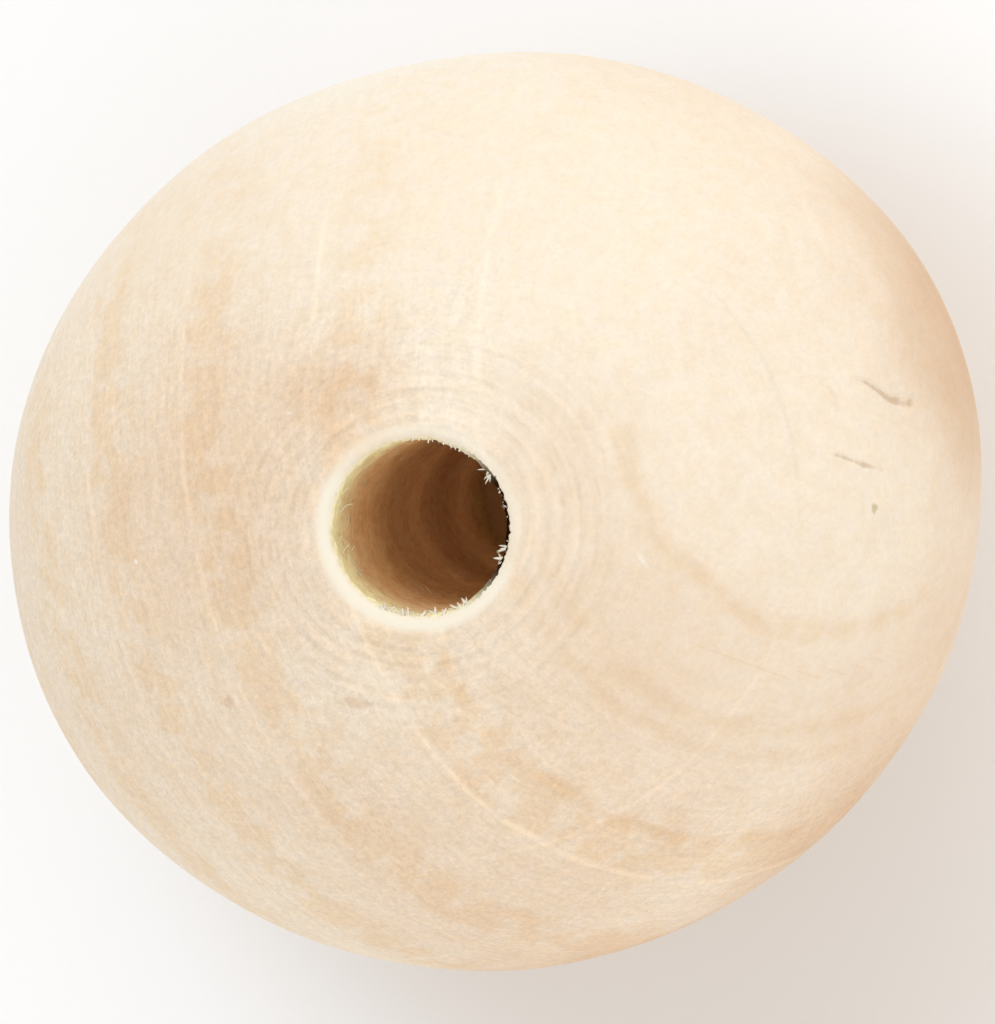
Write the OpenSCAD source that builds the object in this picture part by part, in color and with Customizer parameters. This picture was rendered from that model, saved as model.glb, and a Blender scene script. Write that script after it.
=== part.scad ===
// Round wooden bead, turned as a ball, bored straight through and faced at both ends.
// The bore is upright on Z, and X is the longest way across.
// The origin is the middle of the foot, on the axis of the bore.

/* [Ball] */
// Longest width of the ball, along X
ball_l = 25.9; // [22:0.1:32]
// Width of the ball along Y, as it was turned
ball_w = 24.1; // [20:0.1:30]
// Height of the ball along the bore, before its ends are faced
ball_h = 24.1; // [20:0.1:30]

/* [Bore] */
// Diameter of the bore
bore_d = 4.2; // [2.5:0.1:8]
// Radius of the eased edge at each mouth of the bore
lip_r = 0.25; // [0.1:0.05:0.6]
// Width of the flat that facing leaves round each mouth
land_w = 0.2; // [0.15:0.05:1.5]

/* [Tool marks] */
// Number of rings that the tool leaves round each mouth
mark_count = 11; // [0:1:16]
// Distance from one ring to the next, along the surface
mark_pitch = 0.38; // [0.3:0.02:0.5]
// Width of a ring
mark_w = 0.22; // [0.1:0.02:0.28]
// Depth of a ring
mark_depth = 0.01; // [0.005:0.005:0.05]
// Distance from the axis to the line where the tool paused
pause_r = 8.27; // [7.5:0.1:11]

/* [Hidden] */
$fn = 96;

ball_r = ball_w / 2;
bore_r = bore_d / 2;
mouth_r = bore_r + lip_r;
flat_r = mouth_r + land_w;

// Height from flat to flat: facing stops where the ball is as wide as the flat.
bead_h = ball_h * sqrt(1 - pow(flat_r / ball_r, 2));

// The tool has a round nose, which only dips into the surface.
nose_r = (pow(mark_w / 2, 2) + pow(mark_depth, 2)) / (2 * mark_depth);

// Angles at the middle of the ball: between two rings, and from the axis to the first one.
mark_step = mark_pitch / ball_r * 180 / PI;
first_mark = asin(flat_r / ball_r) + mark_step;

// A ring round the ball, at an angle from the upper end of the axis.
module tool_mark(angle) {
    rotate_extrude()
        translate((ball_r - mark_depth + nose_r) * [sin(angle), cos(angle)])
            circle(nose_r);
}

// The ball as it comes off the lathe, round all over.
module turned_ball() {
    difference() {
        sphere(ball_r);
        for (i = [0 : 1 : mark_count - 1]) {
            tool_mark(first_mark + i * mark_step);
            tool_mark(180 - first_mark - i * mark_step);
        }
        tool_mark(asin(pause_r / ball_r));
    }
}

// Half of the dry ball, on one side of the upright plane through X.
// Wood shrinks unevenly as it dries, so the ball and its marks have become oval.
module half_ball() {
    scale([ball_l / ball_w, 1, ball_h / ball_w])
        intersection() {
            turned_ball();
            translate([-ball_w, 0, -ball_w])
                cube(2 * ball_w);
        }
}

// Half a section through the bore and the two faced ends, with the edges eased at both mouths.
module bore_section() {
    translate([mouth_r, -bead_h / 2])
        square([ball_l, bead_h]);
    translate([bore_r, lip_r - bead_h / 2])
        square([ball_l, bead_h - 2 * lip_r]);
    for (end = [-1, 1])
        translate([mouth_r, end * (bead_h / 2 - lip_r)])
            circle(lip_r);
}

module bead() {
    color([0.93, 0.82, 0.67])
        translate([0, 0, bead_h / 2])
            intersection() {
                for (side = [0, 180])
                    rotate(side)
                        half_ball();
                rotate_extrude()
                    bore_section();
            }
}

bead();
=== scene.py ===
import math
import random

import bpy
import numpy as np
from mathutils import Matrix, Vector, noise


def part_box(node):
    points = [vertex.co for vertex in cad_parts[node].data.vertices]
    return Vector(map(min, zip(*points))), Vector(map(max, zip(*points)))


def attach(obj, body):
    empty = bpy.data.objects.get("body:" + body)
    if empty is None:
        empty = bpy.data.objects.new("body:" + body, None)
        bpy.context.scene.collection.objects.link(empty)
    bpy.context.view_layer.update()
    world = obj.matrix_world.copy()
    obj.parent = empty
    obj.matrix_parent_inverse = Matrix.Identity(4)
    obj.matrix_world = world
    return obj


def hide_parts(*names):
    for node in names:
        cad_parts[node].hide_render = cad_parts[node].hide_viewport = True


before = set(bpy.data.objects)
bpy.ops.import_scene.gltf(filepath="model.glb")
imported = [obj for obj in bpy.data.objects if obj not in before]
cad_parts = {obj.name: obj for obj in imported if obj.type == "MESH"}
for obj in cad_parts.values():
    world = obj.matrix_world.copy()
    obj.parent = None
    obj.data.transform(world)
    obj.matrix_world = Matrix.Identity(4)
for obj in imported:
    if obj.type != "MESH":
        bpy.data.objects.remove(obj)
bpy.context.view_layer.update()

MM = 0.001

# Sizes of the bead in mm. Its length, width and height come from the frame.
low, high = (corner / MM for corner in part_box("bead"))
BALL_L, BALL_W, BEAD_H = high - low
BALL_R = BALL_W / 2
STRETCH = BALL_L / BALL_W
MIDDLE = BEAD_H / 2
BORE_R = 2.1
LIP_R = 0.25
LAND_W = 0.2
MOUTH_R = BORE_R + LIP_R
FLAT_R = MOUTH_R + LAND_W

# Rings that the tool left, as in the source: pitch, width and depth in mm, and angles from the axis.
MARK_COUNT = 11
MARK_PITCH = 0.38
MARK_W = 0.22
MARK_DEPTH = 0.01
MARK_STEP = MARK_PITCH / BALL_R
FIRST_ANGLE = math.asin(FLAT_R / BALL_R)

# The line where the tool paused: distance from the axis, and the azimuth of its middle.
PAUSE_R = 8.27
PAUSE_ANGLE = math.asin(PAUSE_R / BALL_R)
PAUSE_AZIMUTH = -30

# Angle from the axis down to which the ball's stations are close together.
FINE_END = math.radians(68)

# Where the ball stands out or lies in a little: azimuth, angle from the axis, spread (degrees), height (mm).
LOBES = (
    (11, 70, 22, 0.38),
    (-101, 90, 26, 0.14),
    (152, 90, 16, 0.09),
    (84, 90, 12, -0.08),
    (-19, 90, 12, -0.07),
)

# Roughness in mm: of the ball as a whole, the lips, the bore's wall and that wall near the upper mouth.
UNEVEN = 0.05
LIP_TORN = 0.05
WALL_ROUGH, MOUTH_ROUGH = 0.035, 0.03
WALL_STATIONS = 30

# Nicks in the side of the bead: points along each (mm, from the foot), then depth and width at each.
NICKS = (
    (((10.45, 0.55, 19.0), (10.72, 0.31, 18.53), (11.10, -0.25, 17.97),
      (11.45, -0.50, 17.35), (11.80, -0.68, 16.69)),
     (0.02, 0.05, 0.05, 0.07, 0.03), (0.05, 0.07, 0.08, 0.21, 0.16)),
    (((9.68, -1.15, 19.69), (10.05, -1.45, 19.25), (10.55, -1.82, 18.53)),
     (0.02, 0.035, 0.015), (0.06, 0.08, 0.07)),
)
NICK_REACH = 3

# Azimuths in degrees between which the columns are close together, for the nicks, and how many there are.
NICKED = (-13, 5)
NICKED_COLUMNS, OTHER_COLUMNS = 64, 236


def vec(*xyz):
    return np.array(xyz, float)


def smooth(a, b, x):
    """0 below a, 1 above b, and a smooth step between."""
    t = np.clip((x - a) / (b - a), 0, 1)
    return t * t * (3 - 2 * t)


def turn_from(angles, azimuth):
    """Angles, less an azimuth in degrees, from -pi to pi."""
    return (angles - math.radians(azimuth) + math.pi) % (2 * math.pi) - math.pi


def wobble(points, scale, seed, octaves=3):
    """Smooth noise from about -1 to 1 at each point."""
    shift = Vector((seed * 17.3, seed * -9.1, seed * 5.7))
    return np.array([noise.fractal(Vector(p) * scale + shift, 1.0, 2.0, octaves) for p in points])


# ---------------------------------------------------------------- the turned ball and its bore

def outer_angles():
    """Angles from the upper end of the axis at which the ball's section has a station."""
    near, far = [], []
    for k in range(MARK_COUNT):
        mark = FIRST_ANGLE + (k + 1) * MARK_STEP
        near += [mark + d / BALL_R for d in (-0.19, -0.11, -0.055, 0, 0.055, 0.11)]
        far += [math.pi - mark - d / BALL_R for d in (-0.19, -0.10, 0, 0.10)]
    plain = list(np.linspace(near[-1], PAUSE_ANGLE - 0.016, 11)[1:])
    pause = list(PAUSE_ANGLE + np.linspace(-0.012, 0.012, 7))
    fine = list(np.linspace(PAUSE_ANGLE + 0.016, FINE_END, 64))
    coarse = list(np.linspace(FINE_END, min(far), 66)[1:-1])
    return np.array(sorted([FIRST_ANGLE, math.pi - FIRST_ANGLE] + near + far + plain + pause + fine + coarse))


def columns():
    """Azimuths of the columns, close together where the nicks are."""
    first, last = np.radians(NICKED)
    rest = np.linspace(last, first + 2 * math.pi, OTHER_COLUMNS + 2)[1:-1]
    return np.concatenate([np.linspace(first, last, NICKED_COLUMNS), rest])


def groove(angle):
    """Depth of a tool mark, at an angle from its middle."""
    return MARK_DEPTH * np.clip(1 - (2 * angle * BALL_R / MARK_W) ** 2, 0, 1)


def bead_points():
    """Vertices of the closed section swept round the axis, as an array [station, column, xyz] in mm."""
    az = columns()
    ca, sa = np.cos(az), np.sin(az)

    # The ball, from the upper flat down to the lower one.
    theta = outer_angles()
    t, a = np.meshgrid(theta, az, indexing="ij")
    unit = np.stack([np.sin(t) * np.cos(a), np.sin(t) * np.sin(a), np.cos(t)], -1)
    flat = unit.reshape(-1, 3)
    sink = np.zeros(t.shape)
    uneven = wobble(flat * BALL_R, 0.16, 1, 2).reshape(t.shape)
    strength = 0.75 + 0.6 * wobble(flat * BALL_R, 0.5, 2, 2).reshape(t.shape)
    for end in (0, 1):
        polar = t if end == 0 else math.pi - t
        for k in range(MARK_COUNT):
            fade = 1 - 0.8 * k / MARK_COUNT
            sink += fade * np.clip(strength, 0.1, 1.3) * groove(polar - FIRST_ANGLE - (k + 1) * MARK_STEP)
    there = np.exp(-(turn_from(a, PAUSE_AZIMUTH) / 0.75) ** 4)
    sink += there * np.clip(strength, 0.2, 1.2) * groove(t - PAUSE_ANGLE)
    ends = smooth(0, 0.05, t - FIRST_ANGLE) * smooth(0, 0.05, math.pi - FIRST_ANGLE - t)
    sink += ends * UNEVEN * (0.6 - uneven)
    for azimuth, polar, spread, height in LOBES:
        away = turn_from(a, azimuth) ** 2 * np.sin(t) + (t - math.radians(polar)) ** 2
        sink -= ends * height * np.exp(-away / math.radians(spread) ** 2)
    ball = unit * (BALL_R - sink)[..., None]
    ball[..., 0] *= STRETCH
    ball[..., 2] += MIDDLE
    ball, nick_shade = nick(ball)

    # The flats, whose outer edge is oval as the ball is.
    inner = MOUTH_R * np.stack([ca, sa], -1)
    outer = FLAT_R * np.stack([STRETCH * ca, sa], -1)
    flats = [inner + (outer - inner) * f for f in (0, 0.5)]

    # Round lips at the mouths, a little torn.
    def lip(z, up):
        made = []
        for b in np.radians((15, 30, 45, 60, 75, 90)):
            r = MOUTH_R - LIP_R * math.sin(b)
            drop = LIP_R * (1 - math.cos(b))
            ring = np.stack([r * ca, r * sa, np.full(len(az), z - up * drop)], -1)
            torn = wobble(ring, 3.5, 3, 3) * LIP_TORN * math.sin(b)
            ring[:, :2] *= (1 + torn / r)[:, None]
            made.append(ring)
        return made

    def ring(z, r_xy):
        return np.concatenate([r_xy, np.full((len(az), 1), z)], 1)

    # The wall, with stations closer together towards the upper mouth.
    wall = []
    for f in 1 - np.linspace(1, 0, WALL_STATIONS + 2)[1:-1] ** 2.2:
        z = LIP_R + f * (BEAD_H - 2 * LIP_R)
        circle = np.stack([BORE_R * ca, BORE_R * sa, np.full(len(az), z)], -1)
        rough = wobble(circle * (1, 1, 0.6), 1.6, 4, 4) * WALL_ROUGH
        rough += wobble(circle, 4.0, 5, 2) * MOUTH_ROUGH * smooth(BEAD_H - 2.5, BEAD_H - 0.6, z)
        circle[:, :2] *= (1 + rough / BORE_R)[:, None]
        wall.append(circle)

    loop = list(ball)
    loop += [ring(0, flats[1]), ring(0, flats[0])]
    loop += lip(0, -1) + wall + lip(BEAD_H, 1)[::-1]
    loop += [ring(BEAD_H, flats[0]), ring(BEAD_H, flats[1])]
    nick_shade_mask = np.zeros((len(loop), len(az)))
    nick_shade_mask[:len(nick_shade)] = nick_shade
    return np.array(loop), nick_shade_mask


def nick(points):
    """The ball's points, pressed in along each nick, with a low burr beside it, and how deep each lies in a nick,
    for the painted shade there.
    """
    def on_ball(p):
        unit = (p - (0, 0, MIDDLE)) / (STRETCH, 1, 1)
        return unit / np.linalg.norm(unit, axis=1)[:, None] * BALL_R

    flat = points.reshape(-1, 3)
    nick_shade = np.zeros(len(flat))
    for path, depths, widths in NICKS:
        path = np.array(path)
        near = np.nonzero(np.linalg.norm(flat - path.mean(0), axis=1) < NICK_REACH)[0]
        p, q, path = flat[near], on_ball(flat[near]), on_ball(path)
        best = np.full(len(p), 9.0)
        push = np.zeros(len(p))
        ragged = 1 + 0.9 * wobble(q, 1.9, 6, 3)
        for a, b, d0, d1, w0, w1 in zip(path, path[1:], depths, depths[1:], widths, widths[1:]):
            along = np.clip((q - a) @ (b - a) / ((b - a) @ (b - a)), 0, 1)
            gap = np.linalg.norm(q - a - along[:, None] * (b - a), axis=1)
            width = (w0 + (w1 - w0) * along) * np.clip(ragged, 0.4, 1.7)
            depth = (d0 + (d1 - d0) * along) * np.clip(ragged, 0.2, 1.3)
            burr = 0.25 * np.exp(-((gap / width - 1.4) / 0.35) ** 2)
            shape = depth * (np.clip(1 - (gap / width) ** 2, 0, 1) - burr)
            push = np.where(gap < best, shape, push)
            best = np.minimum(best, gap)
        normal = (p - (0, 0, MIDDLE)) / (STRETCH ** 2, 1, 1)
        normal /= np.linalg.norm(normal, axis=1)[:, None]
        flat[near] = p - normal * push[:, None]
        nick_shade[near] = np.maximum(nick_shade[near], push / max(depths))
    return flat.reshape(points.shape), nick_shade.reshape(points.shape[:2])


def loop_mesh(points):
    """Vertices and quads of a closed ring of sections, [station, column]."""
    stations, count = points.shape[:2]
    i, j = np.meshgrid(np.arange(stations), np.arange(count), indexing="ij")
    i2, j2 = (i + 1) % stations, (j + 1) % count
    quads = np.stack([i * count + j, i2 * count + j, i2 * count + j2, i * count + j2], -1)
    return points.reshape(-1, 3), quads.reshape(-1, 4)


# ---------------------------------------------------------------- torn fibres

def sliver(root, heading, up, length, width, bend, steps=3, sides=3):
    """A thin closed splinter from root, tapering to a point and bending towards up."""
    heading = heading / np.linalg.norm(heading)
    side = np.cross(heading, up)
    side /= np.linalg.norm(side)
    lift = np.cross(side, heading)
    verts, faces = [], []
    for k in range(steps):
        f = k / steps
        mid = root + heading * length * f + lift * bend * length * f * f
        r = width / 2 * (1 - 0.75 * f)
        for s in range(sides):
            a = 2 * math.pi * s / sides
            verts.append(mid + r * (math.cos(a) * side + 0.5 * math.sin(a) * lift))
    verts.append(root + heading * length + lift * bend * length)
    tip = len(verts) - 1
    faces.append(tuple(range(sides))[::-1])
    for k in range(steps - 1):
        for s in range(sides):
            n = (s + 1) % sides
            faces.append((k * sides + s, k * sides + n, (k + 1) * sides + n, (k + 1) * sides + s))
    for s in range(sides):
        faces.append(((steps - 1) * sides + s, (steps - 1) * sides + (s + 1) % sides, tip))
    return verts, faces


def fibres():
    """Splinters at the upper mouth and on the wall of the bore."""
    rng = random.Random(7)
    verts, faces = [], []

    def add(made):
        first = len(verts)
        verts.extend(made[0])
        faces.extend(tuple(first + k for k in face) for face in made[1])

    def ways(azimuth):
        """Directions away from the axis and round it."""
        return vec(math.cos(azimuth), math.sin(azimuth), 0), vec(-math.sin(azimuth), math.cos(azimuth), 0)

    def at_mouth(azimuth, length, width, bend, drop, lean):
        out, round_ = ways(math.radians(azimuth))
        root = out * (BORE_R + 0.07) + vec(0, 0, BEAD_H - drop)
        heading = -out + round_ * lean + vec(0, 0, rng.uniform(-0.25, 0.15))
        add(sliver(root, heading, vec(0, 0, 1), length, width, bend, steps=4))

    # Tufts at the upper mouth: azimuth, number, spread, length.
    for azimuth, count, spread, length in (
        (22, 7, 2.2, 0.30), (-29, 6, 1.5, 0.26), (-38, 6, 1.8, 0.27), (52, 3, 1.5, 0.26), (36, 8, 6, 0.14),
        (46, 8, 9, 0.15), (60, 9, 14, 0.16), (78, 8, 14, 0.15), (10, 3, 8, 0.10), (-10, 4, 14, 0.09),
    ):
        for _ in range(count):
            at_mouth(azimuth + rng.uniform(-spread, spread), length * rng.uniform(0.45, 1.2),
                     rng.uniform(0.06, 0.14), rng.uniform(-0.5, 0.4),
                     rng.uniform(0.12, 0.24), rng.uniform(-1.0, 1.0))

    # The fringe at the bottom of the picture, and single splinters all round.
    for _ in range(70):
        at_mouth(rng.uniform(-132, -70), rng.uniform(0.05, 0.30), rng.uniform(0.06, 0.17),
                 rng.uniform(-0.5, 0.5), rng.uniform(0.10, 0.40), rng.uniform(-1.6, 1.6))
    for _ in range(26):
        at_mouth(rng.uniform(-180, 180), rng.uniform(0.05, 0.12), rng.uniform(0.03, 0.06),
                 rng.uniform(-0.2, 0.4), rng.uniform(0.10, 0.25), rng.uniform(-0.8, 0.8))

    # Curls on the wall of the bore, just inside its upper mouth.
    for _ in range(16):
        out, round_ = ways(math.radians(rng.uniform(140, 205)))
        root = out * (BORE_R + 0.02) + vec(0, 0, BEAD_H - rng.uniform(0.5, 2.4))
        heading = -0.6 * out + round_ * rng.choice((-1, 1)) + vec(0, 0, rng.uniform(-0.3, 0.5))
        length, width, bend = rng.uniform(0.14, 0.34), rng.uniform(0.07, 0.12), rng.uniform(-0.9, 0.6)
        add(sliver(root, heading, -out, length, width, bend, steps=4))

    # Fluff on the wall of the bore.
    for _ in range(70):
        out, round_ = ways(rng.uniform(0, 2 * math.pi))
        root = out * (BORE_R + 0.02) + vec(0, 0, BEAD_H - rng.uniform(0.4, 9.0))
        heading = -0.35 * out + round_ * rng.choice((-1, 1)) + vec(0, 0, rng.uniform(-0.6, 0.6))
        length, width, bend = rng.uniform(0.12, 0.4), rng.uniform(0.03, 0.06), rng.uniform(-0.5, 0.3)
        add(sliver(root, heading, -out, length, width, bend))
    return np.array(verts), faces


# ---------------------------------------------------------------- where the wood's colour changes

# Yearly rings. Each is a surface on which a place's distance along RING_NORMAL, bent by RING_BEND, is the same.
RING_NORMAL = (0.974, 0.219, 0.052)
RING_SIDE = (0.053, 0.0, -0.999)
RING_UP = (-0.218, 0.976, -0.012)
RING_BEND = {"uu": 0.0454, "uv": 0.0217, "vv": 0.0164, "su": 0.007, "sv": 0.0104}
YEAR_DARKS = (-10.8, -6.6, -2.3, 1.9, 6.3)

# Thin pale lines and narrow red bands: place along the rings, half width, strength,
# azimuth it is strongest at, and lowest height above the ball's middle.
PALE_LINES = (
    (-3.60, 0.09, 0.6, 160, 6.0),
    (0.75, 0.09, 0.9, 165, 7.5),
    (5.15, 0.10, 1.0, -100, 1.0),
    (4.88, 0.08, 0.8, 120, 8.8),
    (8.65, 0.08, 0.7, 55, 9.0),
)
# The last band runs so near another that it has values of its own.
RED_BANDS = (
    (6.62, 0.36, 0.60, -82, 3.6),
    (10.66, 0.20, 0.70, -27, 4.6),
    (9.25, 0.30, 0.45, -62, 4.6),
    (8.70, 0.24, 0.40, -62, 4.6),
)

# Spots in mm from the ball's middle: place, heading, half length, half width, colour, strength.
# Each has SPOT_REACH round it to itself.
SPOT_REACH = 1.0
ACROSS = (0.947, -0.283, -0.153)
BROWN, OLIVE, WHITE = (0.60, 0.36, 0.20), (0.40, 0.30, 0.06), (1.0, 0.95, 0.86)
SPOTS = (
    ((-6.00, -2.76, 10.31), ACROSS, 0.38, 0.20, BROWN, 0.32),
    ((-2.79, -3.60, 11.20), ACROSS, 0.70, 0.17, BROWN, 0.32),
    ((-2.36, 2.72, 11.55), (0.2, 1.0, 0.0), 0.35, 0.20, BROWN, 0.22),
    ((-7.27, 2.67, 9.40), (0.1, 1.0, 0.0), 0.36, 0.18, BROWN, 0.25),
    ((9.90, 0.42, 7.72), (0.3, -0.9, 0.2), 0.60, 0.22, (0.86, 0.60, 0.42), 0.22),
    ((10.14, -2.66, 7.01), ACROSS, 0.17, 0.15, OLIVE, 0.50),
    ((-7.35, 1.18, 9.85), ACROSS, 0.11, 0.08, WHITE, 0.9),
    ((-7.16, 5.56, 8.36), ACROSS, 0.09, 0.07, WHITE, 0.8),
    ((-2.38, 3.54, 11.31), ACROSS, 0.16, 0.05, WHITE, 0.6),
    ((4.88, -2.40, 10.90), (0.35, -0.93, -0.1), 0.55, 0.08, WHITE, 0.5),
)

# Darker wood, with painted shade and a painted highlight among it: centre of each patch in mm from the ball's
# middle, radius, how much redder and how much darker.
WOOD_PATCHES_AND_PAINTED_LIGHT = (
    ((-4.6, 2.4, 10.8), 4.8, 0.80, 0.0),
    ((-0.9, 3.8, 11.4), 1.8, 0.75, 0.0),
    ((-7.6, -3.0, 8.6), 4.4, 0.35, 0.0),
    ((-3.4, -5.0, 10.4), 3.6, 0.35, 0.0),
    ((2.9, -3.3, 11.2), 4.0, 0.50, 0.0),
    ((5.1, -7.0, 8.6), 5.0, 0.38, 0.0),
    ((3.7, 1.3, 11.5), 2.0, 0.35, 0.0),
    # Painted highlight: this patch's negative redness makes the top of the ball lighter.
    ((3.4, 7.4, 8.8), 5.5, -0.45, 0.0),
    # Painted shade: the patches from here on darken the ball towards its rim at the right and bottom of the
    # picture, where it turns from the light.
    ((13.2, 1.5, 1.8), 4.8, 1.55, 0.05),
    ((9.5, -9.0, 2.0), 5.4, 0.80, 0.0),
    ((12.8, -3.2, 1.8), 4.2, 0.30, 0.0),
    ((5.6, -11.2, 0.6), 4.4, 1.00, 0.05),
    ((-1.2, -9.6, 6.8), 6.0, 0.65, 0.0),
    ((-0.9, -12.0, 0.3), 4.0, 1.25, 0.0),
)

# Painted light: lighter patches on the rim at the top and left of the picture, where the light falls: centre of
# each patch, radius and strength.
PAINTED_RIM_LIGHT = (
    ((0.2, 12.1, 0.5), 6.6, 1.0),
    ((-8.8, 8.8, 0.6), 5.6, 0.75),
    ((-12.7, 2.0, 0.8), 4.6, 0.75),
)


def spot_values(p):
    """Each point's place in the nearest spot, in half lengths and widths, and the spot's colour and strength."""
    place, paint, strength = np.full((len(p), 3), 9.0), np.ones((len(p), 3)), np.zeros(len(p))
    for centre, heading, long, wide, colour, amount in SPOTS:
        off = p - centre
        near = np.linalg.norm(off, axis=1) < SPOT_REACH
        turn = Vector((1, 0, 0)).rotation_difference(Vector(heading)).to_matrix()
        place[near] = off[near] @ np.array(turn) / (long, wide, wide)
        paint[near], strength[near] = colour, amount
    return place, paint, strength


def field_values(p):
    """Values at each point, in mm from the ball's middle, that the wood's colour is made from."""
    ways = {"s": p @ RING_NORMAL, "u": p @ RING_SIDE, "v": p @ RING_UP}
    level = ways["s"] + sum(ways[a] * ways[b] * bend for (a, b), bend in RING_BEND.items())
    shift = 0.6 * wobble(p, 0.45, 8, 2)

    def part(centre, reach):
        return 1 - smooth(reach * 0.15, reach * 1.35, np.linalg.norm(p - centre, axis=1) + shift)

    azimuth = np.arctan2(p[:, 1], p[:, 0] / STRETCH)

    def near(towards, lowest):
        """1 towards an azimuth in degrees, falling smoothly to 0 on the far side."""
        return smooth(lowest, lowest + 0.5, np.cos(azimuth - math.radians(towards)))

    def nearest(lines, lowest):
        """How far each point is from the nearest line that runs by it, in half widths, and the line's strength."""
        off = np.array([(level - line[0]) / line[1] for line in lines])
        strength = np.array([amount * near(towards, lowest) * smooth(low - 1, low + 1, p[:, 2])
                             for _, _, amount, towards, low in lines])
        which = (np.abs(off) + 30 * (strength < 0.02)).argmin(0), np.arange(len(p))
        return off[which], strength[which] * (np.abs(off[which]) < 3.4)

    values = {"ring": level}
    # The first of these is darker wood with painted shade on the rim at the right and bottom and a painted
    # highlight at the top; the second is painted shade alone.
    values["dark"] = 0.18 + sum(redder * part(centre, reach) for centre, reach, redder, _ in WOOD_PATCHES_AND_PAINTED_LIGHT)
    values["painted_rim_shade"] = sum(darker * part(centre, reach) for centre, reach, _, darker in WOOD_PATCHES_AND_PAINTED_LIGHT)
    # Painted light on the rim at the top and left of the picture.
    values["painted_rim_light"] = 1 - np.prod([1 - amount * part(centre, reach) for centre, reach, amount in PAINTED_RIM_LIGHT], 0)
    values["line_off"], values["line"] = nearest(PALE_LINES, 0.1)
    values["band_off"], values["band"] = nearest(RED_BANDS[:3], 0.55)
    values["band2_off"], values["band2"] = nearest(RED_BANDS[3:], 0.55)
    values["spot"], values["spot_paint"], values["spot_amount"] = spot_values(p)
    # The tool's pause shows dark at the right of the picture and pale lower down.
    values["pause"] = smooth(2, 4, p[:, 2]) * (0.05 * near(-60, 0.45) - 0.06 * near(-5, 0.60))
    # The lip is pale from wear all round, with a painted highlight strongest at the lower left of the picture,
    # where it faces the light; the bore has a painted shade line at the right.
    values["lip_wear_and_highlight"] = 0.5 + 0.5 * near(-140, -0.3)
    # Painted shade at the rim of the bore, at the right of the picture.
    values["painted_edge_shade"] = near(-15, 0.40) * smooth(0, 1, p[:, 2])
    return values


def build_bead():
    points, nick_shade_mask = bead_points()
    verts, quads = loop_mesh(points)
    more, slivers = fibres()
    mesh = bpy.data.meshes.new("bead_wood")
    faces = [tuple(int(k) for k in q) for q in quads] + [tuple(len(verts) + k for k in f) for f in slivers]
    mesh.from_pydata((np.concatenate([verts, more]) * MM).tolist(), [], faces)
    mesh.polygons.foreach_set("use_smooth", np.ones(len(mesh.polygons), bool))
    fields = field_values(np.concatenate([verts, more]) - (0, 0, MIDDLE))
    fields["fibre"] = np.concatenate([np.zeros(len(verts)), np.ones(len(more))])
    # Painted shade inside the nicks, for the wood's colour.
    fields["nick_shade"] = np.concatenate([nick_shade_mask.ravel(), np.zeros(len(more))])
    for name, values in fields.items():
        kind, entry = ("FLOAT", "value") if values.ndim == 1 else ("FLOAT_VECTOR", "vector")
        mesh.attributes.new(name, kind, "POINT").data.foreach_set(entry, values.ravel().astype(np.float32))
    mesh.update()
    bead = bpy.data.objects.new("bead_wood", mesh)
    bpy.context.scene.collection.objects.link(bead)
    return bead


# ---------------------------------------------------------------- materials

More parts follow.
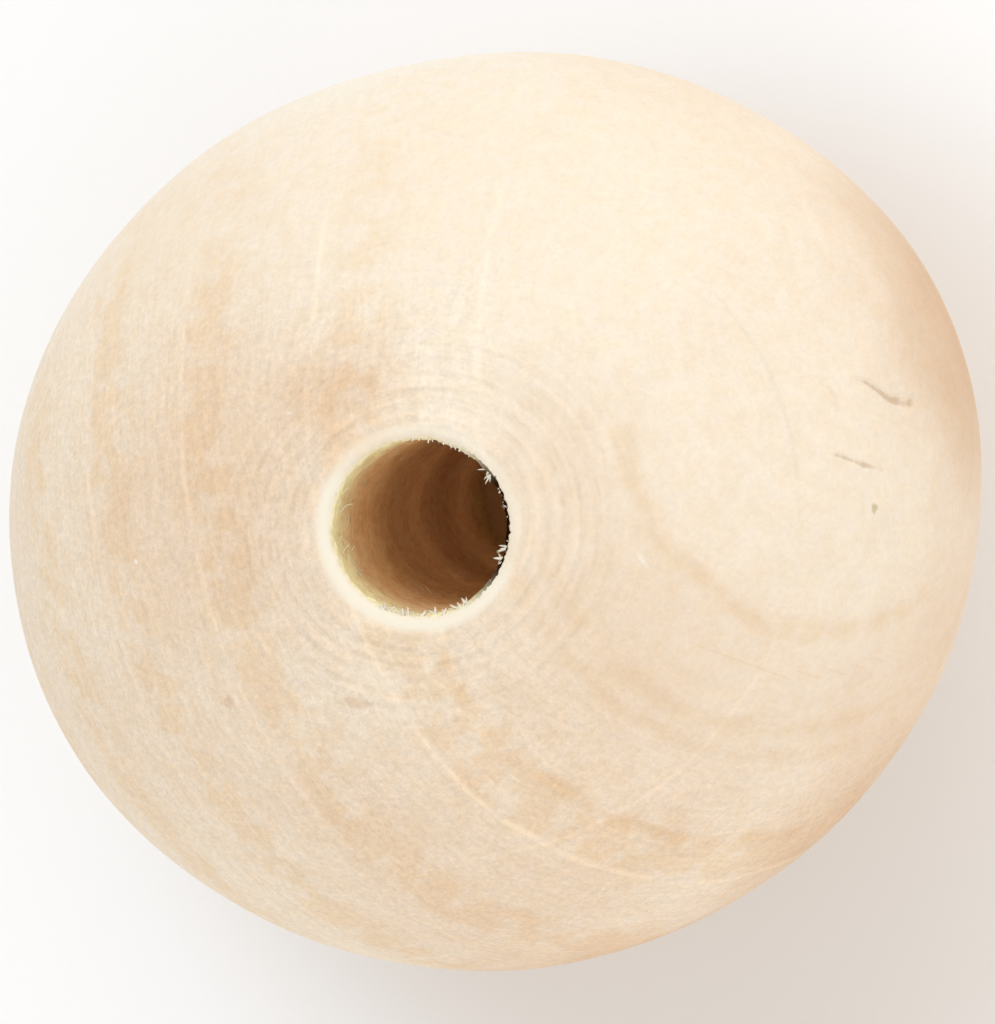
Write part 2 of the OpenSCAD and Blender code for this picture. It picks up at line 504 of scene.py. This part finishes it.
class Graph:
    """Short names for the nodes of one material. Inputs may be sockets or plain values."""

    def __init__(self, name):
        self.material = bpy.data.materials.new(name)
        self.material.use_nodes = True
        self.tree = self.material.node_tree
        self.tree.nodes.clear()

    def node(self, kind, inputs=(), **settings):
        n = self.tree.nodes.new(kind)
        for key, value in settings.items():
            setattr(n, key, value)
        for key, value in dict(inputs).items():
            self.put(n.inputs[key], value)
        return n

    def put(self, socket, value):
        if isinstance(value, bpy.types.NodeSocket):
            self.tree.links.new(value, socket)
        else:
            socket.default_value = value

    def math(self, operation, *values):
        n = self.node("ShaderNodeMath", operation=operation)
        for socket, value in zip(n.inputs, values):
            self.put(socket, value)
        return n.outputs[0]

    def add(self, first, *more):
        for value in more:
            first = self.math("ADD", first, value)
        return first

    def mul(self, first, *more):
        for value in more:
            first = self.math("MULTIPLY", first, value)
        return first

    def vmath(self, operation, a, b=None, scale=None):
        n = self.node("ShaderNodeVectorMath", {0: a}, operation=operation)
        if b is not None:
            self.put(n.inputs[1], b)
        if scale is not None:
            self.put(n.inputs["Scale"], scale)
        return n.outputs["Value" if operation in ("DOT_PRODUCT", "LENGTH", "DISTANCE") else "Vector"]

    def range(self, x, a, b, to_a=0.0, to_b=1.0, kind="SMOOTHSTEP"):
        """x taken from a..b to to_a..to_b, in a smooth step unless another kind is asked for."""
        inputs = {"Value": x, "From Min": a, "From Max": b, "To Min": to_a, "To Max": to_b}
        return self.node("ShaderNodeMapRange", inputs, interpolation_type=kind).outputs[0]

    def combine(self, x, y, z):
        return self.node("ShaderNodeCombineXYZ", {"X": x, "Y": y, "Z": z}).outputs[0]

    def noise(self, vector, scale, detail, rough=0.5):
        inputs = {"Vector": vector, "Scale": scale, "Detail": detail, "Roughness": rough}
        return self.node("ShaderNodeTexNoise", inputs).outputs[0]

    def swing(self, value, size):
        """Noise of 0 to 1 turned into a swing of about -size to size."""
        return self.mul(self.add(value, -0.5), 2.0 * size)

    def field(self, name, output="Fac"):
        return self.node("ShaderNodeAttribute", attribute_name=name).outputs[output]

    def mix(self, factor, a, b, blend="MIX"):
        n = self.node("ShaderNodeMix", data_type="RGBA", blend_type=blend)
        n.clamp_factor = True
        self.put(n.inputs["Factor"], factor)
        for socket, colour in (n.inputs[6], a), (n.inputs[7], b):
            self.put(socket, colour if isinstance(colour, bpy.types.NodeSocket) else (*colour, 1))
        return n.outputs[2]

    def tint(self, factor, colour, by):
        """A colour, multiplied by another as far as factor says."""
        return self.mix(factor, colour, self.mix(1.0, colour, by, "MULTIPLY"))

    def scaled(self, colour, level):
        return self.mix(1.0, colour, self.combine(level, level, level), "MULTIPLY")


PALE = (0.965, 0.85, 0.695)
DARK = tuple(c * d * d for c, d in zip(PALE, (0.90, 0.79, 0.69)))
# Colour of the painted light on the rim.
PAINTED_LIGHT_TINT = (0.98, 0.93, 0.82)
CREAM = (0.98, 0.90, 0.74)
BORE_WOODS = (0.97, 0.68, 0.40), (1.0, 0.77, 0.50)
# Colour of the painted light on the bore's wall near the mouths.
BORE_MOUTH_LIGHT = (1.0, 0.93, 0.55)
# Colour of the painted shade line at the rim of the bore.
PAINTED_EDGE_SHADE = (0.02, 0.006, 0.002)
# Colour of the painted shade inside the nicks.
NICK_SHADE_COLOUR = (0.62, 0.44, 0.27)

# What the late wood of a year, patches here and there, and the narrow bands multiply the colour by.
LATE_TINT = (0.982, 0.93, 0.86)
HUE_TINT = (1.0, 0.985, 0.945)
BAND_TINT = (0.93, 0.84, 0.72)

# How dark each year is at some distances (mm) from its darkest place, and how far out the rings are drawn.
YEAR_SHAPE = ((-1.2, 0.15), (-0.85, 0.75), (0.0, 1.0), (0.8, 0.2), (1.7, 0.0))
RINGS_END = 13.5
OUTERMOST_TONE = 0.3

TOWARDS_TOP = (0.28, 0.96, 0.0)


def year_tone(g, s):
    """How dark the wood is at a place along the rings, from the years alone."""
    ramp = g.node("ShaderNodeValToRGB", {"Fac": g.range(s, -RINGS_END, RINGS_END, kind="LINEAR")})
    ramp.color_ramp.interpolation = "EASE"
    stops = ramp.color_ramp.elements
    for k in (0, 1):
        stops[k].position, stops[k].color = k, (*[OUTERMOST_TONE] * 3, 1)
    for dark in YEAR_DARKS:
        for offset, level in YEAR_SHAPE:
            stops.new((dark + offset + RINGS_END) / (2 * RINGS_END)).color = (level, level, level, 1)
    return ramp.outputs[0]


def wood_material():
    g = Graph("wood")
    place = g.node("ShaderNodeTexCoord").outputs["Object"]
    p = g.vmath("SUBTRACT", g.vmath("SCALE", place, scale=1 / MM), (0, 0, MIDDLE))
    x, y, z = g.node("ShaderNodeSeparateXYZ", {"Vector": p}).outputs

    # Distance from the axis, on the bead and as the ball was turned, and the azimuth as a direction.
    radius = g.math("SQRT", g.add(g.mul(x, x), g.mul(y, y)))
    tx = g.mul(x, 1 / STRETCH)
    turned = g.math("SQRT", g.add(g.mul(tx, tx), g.mul(y, y)))
    height = g.math("ABSOLUTE", z)
    arc = g.mul(g.math("ARCTAN2", turned, height), BALL_R)
    round_x, round_y = (g.math("DIVIDE", way, g.add(turned, 0.01)) for way in (tx, y))

    drift = g.noise(p, 0.45, 1.0)
    patch = g.noise(p, 1.1, 2.0, 0.6)

    # Place along the yearly rings, and the tone that they give.
    u = g.vmath("DOT_PRODUCT", p, RING_SIDE)
    v = g.vmath("DOT_PRODUCT", p, RING_UP)
    s = g.add(g.field("ring"), g.swing(drift, 0.35))
    # Towards the top of the picture the wood's tone and grain fade as a painted highlight; far out along the rings
    # they fade as plainer wood.
    towards_top = g.vmath("DOT_PRODUCT", p, TOWARDS_TOP)
    plain_wood_and_top_highlight = g.range(g.math("MAXIMUM", towards_top, g.add(s, -3.0)), 3.0, 8.0)
    tone = g.mul(year_tone(g, s), g.range(patch, 0.34, 0.64, 0.15, 1.8))
    tone = g.mul(tone, g.add(g.mul(plain_wood_and_top_highlight, -0.6), 1.0))

    # Fine lines along the rings, and the speckle of the end grain.
    fine = g.noise(g.combine(g.mul(s, 5.5), g.mul(u, 0.55), g.mul(v, 0.55)), 1.0, 2.0, 0.6)
    finer = g.noise(g.combine(g.mul(s, 13.0), g.mul(u, 1.6), g.mul(v, 1.6)), 1.0, 1.0, 0.6)
    speck = g.noise(p, 6.5, 1.0, 0.7)
    grit = g.noise(p, 17.0, 0.0)

    # Rings and scratches of the tool, strongest near the mouths and broken into dashes.
    scratch = g.noise(g.combine(g.mul(arc, 5.3), g.mul(round_x, 2.0), g.mul(round_y, 2.0)), 1.0, 1.0, 0.65)
    by_mouth = g.range(arc, 6.6, 2.7)
    first = FIRST_ANGLE * BALL_R
    phase = g.mul(g.add(arc, -first, g.swing(drift, 0.06)), 2 * math.pi / MARK_PITCH)
    ringed = g.mul(g.range(g.math("COSINE", phase), -0.1, 1.0), g.range(scratch, 0.38, 0.58), by_mouth)
    ringed = g.mul(ringed, g.range(arc, first, first + 0.2), g.range(patch, 0.36, 0.60, 0.2, 1.0))

    # Colour: patches of darker wood, with painted shade on the rim at the right and bottom and a painted highlight
    # at the top, redder wood late in each year, painted light on the rim at the top and left, and narrow bands
    # along the rings.
    colour = g.mix(g.mul(g.add(g.swing(patch, 0.22), g.field("dark")), 0.5), PALE, DARK)
    colour = g.tint(g.mul(tone, g.range(s, 10.5, 9.5)), colour, LATE_TINT)
    # Painted light on the rim at the top and left of the picture.
    colour = g.mix(g.field("painted_rim_light"), colour, PAINTED_LIGHT_TINT)
    colour = g.tint(g.range(g.noise(p, 2.2, 1.0, 0.7), 0.35, 0.65), colour, HUE_TINT)
    for name in ("band", "band2"):
        off = g.math("ABSOLUTE", g.add(g.field(name + "_off"), g.swing(drift, 0.35), g.swing(fine, 0.35)))
        band = g.mul(g.range(off, 1.0, 0.0), g.range(patch, 0.25, 0.60, 0.35, 1.0), g.field(name))
        colour = g.tint(band, colour, BAND_TINT)

    # Light and dark: grain, which fades with the painted highlight at the top, tool marks, painted shade on the
    # rim, thin pale lines along the rings, and the line where the tool paused.
    shade = g.add(g.swing(fine, 0.06), g.swing(finer, 0.045), g.swing(speck, 0.11), g.swing(grit, 0.05))
    shade = g.mul(shade, g.range(plain_wood_and_top_highlight, 0.0, 1.0, 1.25, 0.55))
    shade = g.add(shade, g.mul(g.swing(scratch, 0.12), by_mouth), g.mul(ringed, -0.12))
    # Painted shade on the rim at the right and bottom of the picture.
    shade = g.add(shade, g.mul(g.field("painted_rim_shade"), -1.0))
    off = g.math("ABSOLUTE", g.add(g.field("line_off"), g.swing(drift, 1.1)))
    shade = g.add(shade, g.mul(g.range(off, 1.6, 0.0), g.range(patch, 0.36, 0.56), g.field("line"), 0.11))
    off = g.math("ABSOLUTE", g.add(turned, g.swing(drift, 0.05), -PAUSE_R))
    shade = g.add(shade, g.mul(g.range(off, 0.09, 0.0), g.field("pause")))
    colour = g.scaled(colour, g.add(shade, 1.0))

    # Spots, and painted shade inside the nicks.
    from_spot = g.vmath("LENGTH", g.field("spot", "Vector"))
    spot = g.range(g.add(from_spot, g.swing(speck, 0.5)), 1.1, 0.4)
    colour = g.mix(g.mul(spot, g.field("spot_amount")), colour, g.field("spot_paint", "Color"))
    # Painted shade inside the nicks.
    colour = g.mix(g.range(g.field("nick_shade"), 0.15, 0.9, 0.0, 0.6), colour, NICK_SHADE_COLOUR)

    # The bore is raw and darker, with painted light on its wall near each mouth; its lips are pale from wear, with
    # a painted highlight strongest at the lower left.
    lip = g.mul(g.range(radius, FLAT_R + 0.05, MOUTH_R), g.range(height, MIDDLE - 0.6, MIDDLE - 0.25))
    # Pale wear on the lip, and a painted highlight strongest at the lower left.
    colour = g.mix(g.mul(lip, g.field("lip_wear_and_highlight")), colour, CREAM)
    mottle = g.noise(g.combine(x, y, g.mul(z, 0.6)), 1.7, 2.0, 0.6)
    raw = g.mix(g.range(mottle, 0.35, 0.65), *BORE_WOODS)
    # Painted light: the bore's wall is lighter and yellower near each mouth, where light gets in.
    lit_near_mouths = g.range(g.add(height, g.swing(mottle, 0.9)), MIDDLE - 3.0, MIDDLE - 0.3)
    raw = g.mix(g.mul(lit_near_mouths, 0.9), raw, BORE_MOUTH_LIGHT)
    raw = g.scaled(raw, g.add(g.swing(mottle, 0.16), g.swing(speck, 0.30), 1.0))
    inside = g.add(radius, g.swing(speck, 0.03))
    wall = g.mul(g.range(inside, MOUTH_R - 0.10, BORE_R + 0.02), g.range(height, MIDDLE - 0.04, MIDDLE - 0.22))
    colour = g.mix(wall, colour, raw)

    # Painted shade: a black line just inside the rim of the bore, on the side where the drill left it sharp.
    edge_shade_line = g.range(g.add(inside, g.swing(speck, 0.06)), MOUTH_R - 0.14, MOUTH_R - 0.18)
    edge_shade_line = g.mul(edge_shade_line, g.range(height, MIDDLE - 0.9, MIDDLE - 0.5), g.field("painted_edge_shade"))
    colour = g.mix(edge_shade_line, colour, PAINTED_EDGE_SHADE)
    colour = g.mix(g.field("fibre"), colour, CREAM)

    relief = g.add(g.mul(speck, 0.013), g.mul(scratch, 0.012))
    bump = g.node("ShaderNodeBump", {"Height": relief, "Distance": MM, "Strength": 1.0})
    shader = g.node("ShaderNodeBsdfPrincipled", {
        "Base Color": colour,
        "Normal": bump.outputs[0],
        "Roughness": g.math("MAXIMUM", g.add(g.swing(fine, 0.08), 0.66), edge_shade_line),
        "Specular IOR Level": g.range(edge_shade_line, 0.0, 0.6, 0.35, 0.0),
    })
    g.node("ShaderNodeOutputMaterial", {"Surface": shader.outputs[0]})
    return g.material


# The floor is darker and warmer round this place (mm), a painted shadow on the shaded side of the bead, and brown
# below the bore, painted shade like the inside of the bore.
SHADE = (4.5, -6.5, 0.0)
FLOOR, FLOOR_BORE_SHADE = (0.82, 0.755, 0.70), (1.0, 0.72, 0.46)
GLOW = (0.64, 0.84, 1.0, 1)


def floor_material():
    g = Graph("floor")
    place = g.vmath("SCALE", g.node("ShaderNodeTexCoord").outputs["Object"], scale=1 / MM)
    from_axis = g.vmath("LENGTH", place)
    shader = g.node("ShaderNodeBsdfDiffuse", {"Color": g.mix(g.range(from_axis, 2.1, 4.0), FLOOR_BORE_SHADE, FLOOR)})

    # What brings the floor up to the white of the photo, and lights nothing else.
    # Less glow round SHADE paints the bead's shadow on the floor.
    away = g.range(g.vmath("DISTANCE", place, SHADE), 11.0, 20.5, 0.06, 0.31)
    glow = g.node("ShaderNodeEmission", {"Color": GLOW, "Strength": g.mul(g.range(from_axis, 3.0, 7.0), away)})
    path = g.node("ShaderNodeLightPath").outputs
    seen = g.math("MAXIMUM", path["Is Glossy Ray"], path["Is Transmission Ray"])
    seen = g.math("MAXIMUM", path["Is Camera Ray"], seen)
    none = g.node("ShaderNodeEmission", {"Strength": 0.0})
    extra = g.node("ShaderNodeMixShader", {0: seen, 1: none.outputs[0], 2: glow.outputs[0]})
    both = g.node("ShaderNodeAddShader", {0: shader.outputs[0], 1: extra.outputs[0]})
    g.node("ShaderNodeOutputMaterial", {"Surface": both.outputs[0]})
    return g.material


# ---------------------------------------------------------------- camera, light and floor

# The camera as read from the photo: angles in degrees, distance and point aimed at in mm.
LENS, SENSOR = 145.55, 36
CAMERA_AZIMUTH, CAMERA_ELEVATION, CAMERA_ROLL = -2.833, 80.88, -16.428
CAMERA_DISTANCE = 110.0
AIM = (0.0755, -0.0749)

# Soft lamps, all alike but for their power: share towards the camera, to the right and to the top, then watts.
LAMPS = {
    "key": (1.0, -0.35, 0.80, 0.25),
    "top": (0.5, 0.0, 1.0, 0.32),
    "bottom": (0.5, 0.0, -1.0, 0.27),
    "right": (0.5, 1.0, 0.0, 0.25),
}
LAMP_DISTANCE, LAMP_SIZE = 0.45, 0.30

# Small warm lamps in the bore, for the light that gets in through the wood: heights in mm, then watts.
BORE_LAMPS = (4.5, 12.0, 19.5)
BORE_POWER = 8.6e-6
BORE_LIGHT = (1.0, 0.64, 0.42)

FILL_LIGHT = 0.75
BACKDROP = (0.97, 0.96, 0.955, 1)
FLOOR_HALF = 1.5


def picture_axes():
    """Directions to the camera, and to the right and top of the picture."""
    az, el, roll = map(math.radians, (CAMERA_AZIMUTH, CAMERA_ELEVATION, CAMERA_ROLL))
    out = Vector((math.cos(el) * math.cos(az), math.cos(el) * math.sin(az), math.sin(el)))
    across = Vector((0, 1, 0)).cross(out).normalized()
    up = out.cross(across)
    right = across * math.cos(roll) + up * math.sin(roll)
    top = up * math.cos(roll) - across * math.sin(roll)
    return out, right, top


def build_camera():
    out, right, top = picture_axes()
    middle = Vector((0, 0, MIDDLE))
    target = middle + right * AIM[0] + top * AIM[1]
    eye = middle + out * CAMERA_DISTANCE
    back = (eye - target).normalized()
    side = top.cross(back).normalized()
    data = bpy.data.cameras.new("camera")
    data.lens = LENS
    data.sensor_width = SENSOR
    data.clip_start, data.clip_end = 0.01, 10
    camera = bpy.data.objects.new("camera", data)
    turn = Matrix((side, back.cross(side), back)).transposed().to_4x4()
    camera.matrix_world = Matrix.Translation(eye * MM) @ turn
    bpy.context.scene.collection.objects.link(camera)
    bpy.context.scene.camera = camera


def lamp(name, kind, energy, place, **settings):
    data = bpy.data.lights.new(name, kind)
    data.energy = energy
    for key, value in settings.items():
        setattr(data, key, value)
    made = bpy.data.objects.new(name, data)
    made.location = place
    bpy.context.scene.collection.objects.link(made)
    return made


def build_lights():
    out, right, top = picture_axes()
    for name, (to_camera, to_right, to_top, power) in LAMPS.items():
        towards = (out * to_camera + right * to_right + top * to_top).normalized()
        place = Vector((0, 0, MIDDLE * MM)) + towards * LAMP_DISTANCE
        made = lamp(name, "AREA", power, place, shape="DISK", size=LAMP_SIZE)
        made.rotation_mode = "QUATERNION"
        made.rotation_quaternion = towards.to_track_quat("Z", "Y")
    for k, z in enumerate(BORE_LAMPS):
        lamp("bore_%d" % k, "POINT", BORE_POWER, (0, 0, z * MM), shadow_soft_size=0.3 * MM, color=BORE_LIGHT)


def build_stage():
    h = FLOOR_HALF
    mesh = bpy.data.meshes.new("floor")
    mesh.from_pydata([(-h, -h, 0), (h, -h, 0), (h, h, 0), (-h, h, 0)], [], [(0, 1, 2, 3)])
    floor = bpy.data.objects.new("floor", mesh)
    floor.data.materials.append(floor_material())
    bpy.context.scene.collection.objects.link(floor)

    # White light from all round, and a pale backdrop where the camera sees past the floor.
    world = bpy.data.worlds.new("studio")
    world.use_nodes = True
    bpy.context.scene.world = world
    tree = world.node_tree
    tree.nodes.clear()
    fill = tree.nodes.new("ShaderNodeBackground")
    fill.inputs[0].default_value = (1.0, 1.0, 1.0, 1)
    fill.inputs[1].default_value = FILL_LIGHT
    seen = tree.nodes.new("ShaderNodeBackground")
    seen.inputs[0].default_value = BACKDROP
    path = tree.nodes.new("ShaderNodeLightPath")
    mix = tree.nodes.new("ShaderNodeMixShader")
    end = tree.nodes.new("ShaderNodeOutputWorld")
    tree.links.new(path.outputs["Is Camera Ray"], mix.inputs[0])
    tree.links.new(fill.outputs[0], mix.inputs[1])
    tree.links.new(seen.outputs[0], mix.inputs[2])
    tree.links.new(mix.outputs[0], end.inputs[0])


bead = build_bead()
bead.data.materials.append(wood_material())
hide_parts("bead")
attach(bead, "root")

build_camera()
build_lights()
build_stage()
bpy.context.scene.view_settings.view_transform = "Standard"
# Enough bounces for the bore, and few enough to keep the render short.
bpy.context.scene.cycles.diffuse_bounces = 3
